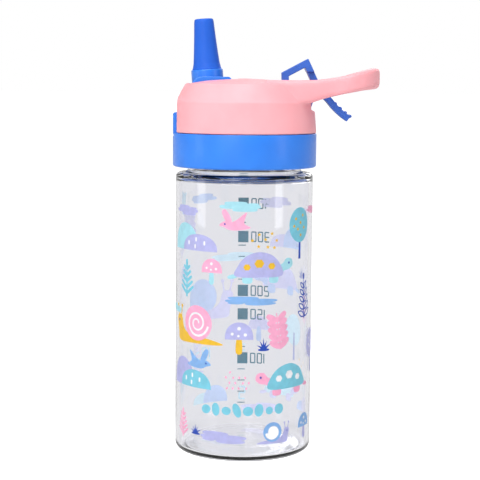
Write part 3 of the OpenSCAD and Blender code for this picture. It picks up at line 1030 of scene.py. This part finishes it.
def fern(ink, at, height, spread_by=1.0):
    """A stem with solid fingers that shorten to the top."""
    pen = stamp(at)
    pen(ink, stroke([(0, 0), (0, 0.9 * height)], 0.08 * height, 0.03 * height))
    for i in range(5):
        y = height * (0.08 + 0.165 * i)
        for side in (-1, 1):
            pen(ink, leaf(0, y, height * (0.36 - 0.045 * i) * spread_by, 0.085 * height, 90 - side * 52,
                          -0.2))
    pen(ink, leaf(0, 0.8 * height, 0.22 * height, 0.1 * height, 90, -0.1))


def leafy_branch(ink, at, height, lean):
    """A broad branch with fat leaves."""
    pen = stamp(at, 1.0, False, lean)
    pen(ink, stroke([(0, 0), (0, height)], 0.07 * height, 0.03 * height))
    for i in range(5):
        for side in (-1, 1):
            pen(ink, leaf(0, height * (0.05 + 0.18 * i), 0.36 * height, 0.17 * height, 90 - side * 55,
                          0.1))


def grass(ink, at, width, height):
    pen = stamp(at)
    for f, h in ((-0.5, 0.42), (-0.3, 0.8), (-0.03, 1.0), (0.22, 0.78), (0.5, 0.5)):
        pen(ink, stroke(bow((0.08 * f * width, 0), (f * width, h * height), 0.12 * width * f),
                        0.26 * height, 0.03))
    pen(ink, streak(0, 0.05 * height, 0.8 * width, 0.22 * height, 0.1))


def round_tree(at, height, crown="turquoise", fruit="pink"):
    pen = stamp(at)
    pen("navy", stroke([(0, 0), (0, 0.6 * height)], 0.07 * height, 0.04 * height))
    pen(crown, oval(0, 0.66 * height, 0.3 * height, 0.34 * height, 32), 1)
    for x, y in ((-0.12, 0.78), (0.1, 0.84), (0.14, 0.6), (-0.06, 0.58), (-0.17, 0.64), (0.02, 0.7),
                 (0.03, 0.46)):
        pen(fruit, oval(x * height, y * height, 0.028 * height, 0.028 * height, 14), 2)


# %% Toadstools
def toadstool(at, height, cap, stem="cyan"):
    pen = stamp(at)
    foot, neck, edge = 0.1 * height, 0.07 * height, 0.46 * height
    pen(stem, smooth([(-foot, 0), (-neck, 0.5 * height), (neck, 0.5 * height), (foot, 0)]))
    angles = [math.pi * i / 20 for i in range(21)]
    pen(cap, [(-edge * math.cos(a), (0.42 + 0.56 * abs(math.sin(a)) ** 0.8) * height)
              for a in angles], 1)
    for x, y, r in ((-0.22, 0.6, 0.05), (0.0, 0.78, 0.06), (0.2, 0.58, 0.055), (-0.02, 0.54, 0.04)):
        pen("white", oval(x * height, y * height, r * height, r * height, 14), 2)


# %% [markdown]
# ### Animals
# A tortoise and a snail, the plainest garden animals: each is a few soft outlines in one ink,
# with the shell, its marks and the eye as further inks on top.

# %% Tortoise
def tortoise(at, size=1.0, flip=False, skin="turquoise", shell="lilac", mark="white"):
    pen = stamp(at, size, flip)
    for x in (-7.2, 6.6):
        pen(skin, smooth([(x - 2, 4), (x - 2.2, -0.2), (x + 2.2, -0.2), (x + 2, 4)]))
    pen(skin, leaf(11.4, 3.4, 5.4, 2.2, -12, 0.2))
    pen(skin, smooth([(-10, 3.2), (-13.4, 5.4), (-16.4, 6.0), (-18.8, 8.0), (-18.0, 11.0),
                      (-14.8, 11.6), (-12.4, 9.2), (-9.6, 7.4)]))
    pen(shell, smooth([(-12, 3), (-10.8, 8.8), (-6, 13.6), (1, 15.2), (7.6, 12.8), (11.6, 7.8),
                       (12.6, 3), (0, 2.4)]), 1)
    for x, y, r in ((-6, 8, 2.0), (0.6, 9.4, 2.6), (6.8, 7.6, 1.9)):
        pen(mark, oval(x, y, r, 0.9 * r, 6), 2)
    pen("navy", oval(-16.2, 9.2, 0.5, 0.6, 14), 3)


# %% Snail
def snail(at, size=1.0, flip=False, skin="yellow", shell="pink", mark="white"):
    pen = stamp(at, size, flip)
    for x in (-13.6, -9.4):
        pen(skin, stroke([(0.5 * (x - 11.2), 9.6), (x, 15.2)], 0.9, 0.6))
        pen(skin, oval(x, 15.4, 0.8, 0.8, 14))
    pen(skin, smooth([(-14.2, 9.6), (-12.2, 11.4), (-9.4, 10.6), (-7.4, 5.6), (-2, 3.2), (8, 2.4),
                      (14.6, 0.2), (0, -0.2), (-11.2, -0.1), (-12.8, 4.0)]))
    pen(shell, oval(1.4, 9.0, 8.0, 7.8, 36), 1)
    coil = [(0.31 * i, 1.0 + 5.2 * i / 40) for i in range(41)]
    pen(mark, stroke([(1.4 + r * math.cos(a), 9.0 + r * math.sin(a)) for a, r in coil], 0.7, 1.0), 2)
    pen("navy", oval(-12.0, 8.8, 0.5, 0.6, 14), 3)


# %% Bird
def small_bird(ink, at, size=1.0, flip=False):
    pen = stamp(at, size, flip)
    pen(ink, smooth([(0, 3.4), (2.0, 5.0), (4.4, 4.6), (7.0, 5.6), (11.0, 8.6), (10.0, 4.4),
                     (12.6, 2.6), (8.4, 1.6), (4.4, 1.6), (2.2, 2.6)]))
    pen(ink, leaf(4.6, 4.0, 6.4, 2.6, 118, 0.1))
    pen("navy", oval(2.3, 3.9, 0.35, 0.4, 10), 2)


# %% [markdown]
# ### Volume scale
# Plain numerals of seven strokes and a solid block at each mark, read from the back of the bottle.

# %% Numerals
SEGMENTS = {"a": (0, 2, 1, 2), "b": (1, 1, 1, 2), "c": (1, 0, 1, 1), "d": (0, 0, 1, 0),
            "e": (0, 0, 0, 1),
            "f": (0, 1, 0, 2), "g": (0, 1, 1, 1)}
DIGITS = {"0": "abcdef", "1": "bc", "2": "abged", "3": "abgcd", "4": "fgbc", "5": "afgcd"}


def numeral(ink, text, at, height):
    pen = stamp(at, height / 2)
    for i, digit in enumerate(text):
        for part in DIGITS[digit]:
            x0, y0, x1, y1 = SEGMENTS[part]
            pen(ink, stroke([(1.5 * i + 0.95 * x0, y0), (1.5 * i + 0.95 * x1, y1)], 0.26))


def volume_scale(u):
    for z, text in ((120, "400"), (102.5, "300"), (74, "200"), (61.5, "150"), (38, "100")):
        stamp((u, z))("teal", [(-2.8, -3), (2.8, -3), (2.8, 3), (-2.8, 3)], 1)
        numeral("teal", text, (u - 14.4, z - 2.5), 5.0)
    for z in range(14, 118, 6):
        stamp((u, z))("teal", [(-1.4, -0.25), (2.6, -0.25), (2.6, 0.25), (-1.4, 0.25)])
    for x, z, digit in ((-1.5, 42, "3"), (-1.5, 16, "5"), (16, 38, "10"), (26, 36, "2")):
        numeral("turquoise", digit, (u + x, z), 6.5)


# %% [markdown]
# ### The artwork round the barrel
# The front is laid out first, from the top down, and then the back with the same motifs, so the
# eye sees one pattern in front and a pale second one through the clear walls.

# %% Front of the barrel
cloud("lilac", (-33, 121), 18, 5)
cloud("cyan", (-2, 124), 20, 5)
hills((-45, 102), 32, 13, "cyan", "lilac")
small_bird("pink", (-12, 111), 1.2)
round_tree((31, 98), 25, "turquoise", "yellow")
cloud("pink", (44, 121), 12, 4)
fern("turquoise", (-32, 79), 18)
toadstool((-16, 87), 12, "pink")
tortoise((8, 88), 0.95, True, "cyan", "lilac", "yellow")
star_group((4, 108))
open_sprig("navy", (36, 68), 21, 4)
snail((-26, 57), 1.1)
puddle("sky", (4, 79), 26, 4.6)
toadstool((-2, 54), 15, "lilac", "yellow")
leafy_branch("pink", (19, 55), 18, 8)
grass("navy", (10, 55), 7, 6)
round_tree((46, 40), 22, "lilac", "white")
hills((-46, 35), 30, 14, "lilac", "turquoise")
small_bird("sky", (-16, 43), 1.2, True)
speckle("pink", (-8, 36), 1.0)
tortoise((24, 33), 0.95, False, "pink", "turquoise", "white")
PEBBLES = [(5.0, 4.4), (4.0, 6.4), (4.6, 4.0), (3.8, 7.2), (5.0, 4.6), (4.4, 6.2), (3.8, 3.8), (4.8, 5.2)]
for i, (w, h) in enumerate(PEBBLES):
    pen = stamp((-18.6 + 5.3 * i, 25.4), turn=20 - 14 * (i % 3))
    pen("turquoise", oval(0, 0.4 * (i % 2), w / 2, h / 2), 1)
snail((16, 9), 0.62, True, "lilac", "sky", "white")
fern("pink", (-35, 9), 14, 1.1)
puddle("lilac", (-10, 12), 24, 6)
grass("navy", (-25, 12), 7, 5)
toadstool((37, 9), 12, "sky", "lilac")
puddle("cyan", (-44, 72), 14, 4)

# %% Back of the barrel
volume_scale(107)
cloud("lilac", (88, 121), 20, 6)
cloud("sky", (131, 123), 18, 5)
leafy_branch("lilac", (141, 98), 20, -8)
hills((66, 98), 26, 11, "sky", "lilac")
puddle("cyan", (112, 92), 26, 5)
fern("lilac", (154, 94), 20)
snail((130, 60), 1.25, False, "lilac", "sky", "white")
tortoise((84, 74), 0.95, True, "sky", "lilac", "cyan")
toadstool((98, 48), 13, "lilac", "sky")
round_tree((74, 40), 24, "cyan", "white")
open_sprig("lilac", (136, 28), 22, 4)
tortoise((84, 18), 0.8, False, "lilac", "cyan", "white")
hills((114, 15), 24, 9, "sky", "cyan")
puddle("lilac", (96, 12), 24, 5)
grass("navy", (66, 84), 8, 6)
fern("pink", (60, 60), 18)
toadstool((150, 78), 12, "sky", "lilac")
puddle("lilac", (150, 56), 16, 5)
cloud("lilac", (62, 118), 16, 4)
star_group((58, 38))
hills((50, 15), 20, 9, "lilac", "sky")
leafy_branch("turquoise", (152, 116), 12, 12)
fern("turquoise", (154, 24), 15)
print({ink: len(shapes) for ink, shapes in screens.items()})

# %% [markdown]
# ### Rolling the artwork on
# The tree bends flat artwork round the barrel: the first coordinate becomes an angle, the third
# becomes distance from the wall. The faces that touch the wall get a paler underprint, since a
# printer lays white first on clear plastic, and that is what shows through from the other side.
# The underprint also glows a little: painted light, an emission in place of the light that reaches it.

# %% Flat screens
BEND_STEP = 2.0
INK_GAP, INK_STEP, INK_THICK = 0.03, 0.02, 0.014


def flat_screen(shapes):
    """One ink's outlines as thin closed plates, cut every few millimetres so that they bend."""
    whole = bmesh.new()
    carrier = bpy.data.meshes.new("carrier")
    for outline, layer in shapes:
        bm = bmesh.new()
        base = INK_GAP + INK_STEP * layer
        face = bm.faces.new([bm.verts.new((x, y, base)) for x, y in outline])
        bmesh.ops.triangulate(bm, faces=[face])
        lo, hi = min(p[0] for p in outline), max(p[0] for p in outline)
        for k in range(math.ceil(lo / BEND_STEP), math.floor(hi / BEND_STEP) + 1):
            bmesh.ops.bisect_plane(bm, geom=bm.verts[:] + bm.edges[:] + bm.faces[:], dist=1e-4,
                                   plane_co=(k * BEND_STEP, 0, 0), plane_no=(1, 0, 0))
        lifted = bmesh.ops.extrude_face_region(bm, geom=bm.faces[:], use_keep_orig=True)["geom"]
        top = [v for v in lifted if isinstance(v, bmesh.types.BMVert)]
        bmesh.ops.translate(bm, vec=(0, 0, INK_THICK), verts=top)
        bmesh.ops.recalc_face_normals(bm, faces=bm.faces)
        bm.to_mesh(carrier)
        bm.free()
        whole.from_mesh(carrier)
    bpy.data.meshes.remove(carrier)
    bmesh.ops.scale(whole, vec=(MM, MM, MM), verts=whole.verts)
    mesh = bpy.data.meshes.new("screen")
    whole.to_mesh(mesh)
    whole.free()
    return mesh


# %% Wrap tree
def wrap_tree():
    tree, given, out, link = geometry_tree("wrap_on_barrel", [
        ("Barrel radius", "Float"), ("Ink", "Material"), ("Underprint", "Material")])

    def calc(operation, a, b=None, kind="ShaderNodeMath"):
        node = tree.nodes.new(kind)
        node.operation = operation
        for socket, value in zip(node.inputs, (a, b)):
            if isinstance(value, (int, float, tuple)):
                socket.default_value = value
            elif value is not None:
                link(value, socket)
        return node.outputs["Value"] if operation == "DOT_PRODUCT" else node.outputs[0]

    place = tree.nodes.new("GeometryNodeInputPosition")
    flat = tree.nodes.new("ShaderNodeSeparateXYZ")
    rolled = tree.nodes.new("ShaderNodeCombineXYZ")
    move = tree.nodes.new("GeometryNodeSetPosition")
    real = tree.nodes.new("GeometryNodeRealizeInstances")
    ink, under = tree.nodes.new("GeometryNodeSetMaterial"), tree.nodes.new("GeometryNodeSetMaterial")
    link(place.outputs[0], flat.inputs[0])
    angle = calc("DIVIDE", flat.outputs["X"], given.outputs["Barrel radius"])
    out_to = calc("ADD", flat.outputs["Z"], given.outputs["Barrel radius"])
    link(calc("MULTIPLY", calc("SINE", angle), out_to), rolled.inputs["X"])
    link(calc("MULTIPLY", calc("MULTIPLY", calc("COSINE", angle), out_to), -1.0), rolled.inputs["Y"])
    link(flat.outputs["Y"], rolled.inputs["Z"])
    link(given.outputs["Geometry"], move.inputs["Geometry"])
    link(rolled.outputs[0], move.inputs["Position"])
    link(move.outputs["Geometry"], real.inputs["Geometry"])
    link(real.outputs["Geometry"], ink.inputs["Geometry"])
    link(given.outputs["Ink"], ink.inputs["Material"])
    level = calc("MULTIPLY", place.outputs[0], (1.0, 1.0, 0.0), "ShaderNodeVectorMath")
    facing = calc("DOT_PRODUCT", tree.nodes.new("GeometryNodeInputNormal").outputs[0], level,
                  "ShaderNodeVectorMath")
    link(calc("LESS_THAN", facing, -0.01), under.inputs["Selection"])
    link(ink.outputs["Geometry"], under.inputs["Geometry"])
    link(given.outputs["Underprint"], under.inputs["Material"])
    link(under.outputs["Geometry"], out.inputs["Geometry"])
    return tree


# %% Ink materials
def screen_ink(name, colour, white=0.0, painted_glow=0.0):
    """Screen ink: uneven cover, a fine grain and a soft sheen, paler when white is mixed in.
    Its emission is painted light: a glow in place of the light that reaches it from behind.
    """
    mixed = tuple(c + (0.86 - c) * white for c in colour)
    material, bsdf, add, link = finish(name)
    link(two_tone(add, link, noise_at(add, link, 0.4, 3.0), tuple(0.9 * c for c in mixed), mixed),
         bsdf.inputs["Base Color"])
    link(spread(add, link, noise_at(add, link, 2.0, 2.0), 0.38, 0.52), bsdf.inputs["Roughness"])
    bumped(add, link, bsdf, noise_at(add, link, 5.0, 1.0), 0.15, 0.01)
    bsdf.inputs["Specular IOR Level"].default_value = 0.3
    # Painted light: the emission makes the ink glow as if lit from behind.
    bsdf.inputs["Emission Color"].default_value = (*mixed, 1)
    bsdf.inputs["Emission Strength"].default_value = painted_glow
    return material


# %% Print
# Share of white, and a painted glow: emission in place of the light that comes through from behind.
UNDERPRINT = {"teal": (0.02, 0.35), "navy": (0.35, 0.4)}
PALE_WITH_PAINTED_GLOW = (0.45, 0.5)
WRAP = wrap_tree()
for ink, colour in INKS.items():
    front = screen_ink("ink_" + ink, colour)
    under = screen_ink("underprint_" + ink, colour, *UNDERPRINT.get(ink, PALE_WITH_PAINTED_GLOW))
    values = {"Barrel radius": BARREL_R * MM, "Ink": front, "Underprint": under}
    mesh = grown(WRAP, values, flat_screen(screens[ink]))
    mounted("print_" + ink, mesh, [], "bottle", crease=30)

# %% [markdown]
# ## Floor
# A wide pale floor with a very slight unevenness. It is set apart from the object. It gives off
# a little light to the lens, as a lit sweep does, so that it meets the backdrop without a line.

# %% Floor
def pale_floor():
    material, bsdf, add, link = finish("pale_floor")
    link(two_tone(add, link, noise_at(add, link, 0.002, 3.0), (0.76, 0.76, 0.765), (0.8, 0.8, 0.8)),
         bsdf.inputs["Base Color"])
    bsdf.inputs["Roughness"].default_value = 0.9
    bsdf.inputs["Specular IOR Level"].default_value = 0.0
    bsdf.inputs["Emission Color"].default_value = (1, 1, 1, 1)
    ray = add("ShaderNodeLightPath")
    seen = add("ShaderNodeMath")
    seen.operation = "MULTIPLY"
    seen.inputs[1].default_value = 0.8
    link(ray.outputs["Is Camera Ray"], seen.inputs[0])
    link(seen.outputs[0], bsdf.inputs["Emission Strength"])
    even = add("ShaderNodeEmission", Strength=0.88)
    mix = add("ShaderNodeMixShader")
    either = add("ShaderNodeMath")
    either.operation = "MAXIMUM"
    link(ray.outputs["Is Transmission Ray"], either.inputs[0])
    link(ray.outputs["Is Glossy Ray"], either.inputs[1])
    link(either.outputs[0], mix.inputs[0])
    link(bsdf.outputs[0], mix.inputs[1])
    link(even.outputs[0], mix.inputs[2])
    link(mix.outputs[0], material.node_tree.nodes["Material Output"].inputs["Surface"])
    bm = bmesh.new()
    bmesh.ops.create_grid(bm, x_segments=1, y_segments=1, size=40.0)
    mesh = bpy.data.meshes.new("floor")
    bm.to_mesh(mesh)
    bm.free()
    mesh.materials.append(material)
    floor = bpy.data.objects.new("floor", mesh)
    floor.location.z = -0.0004
    bpy.context.scene.collection.objects.link(floor)


pale_floor()
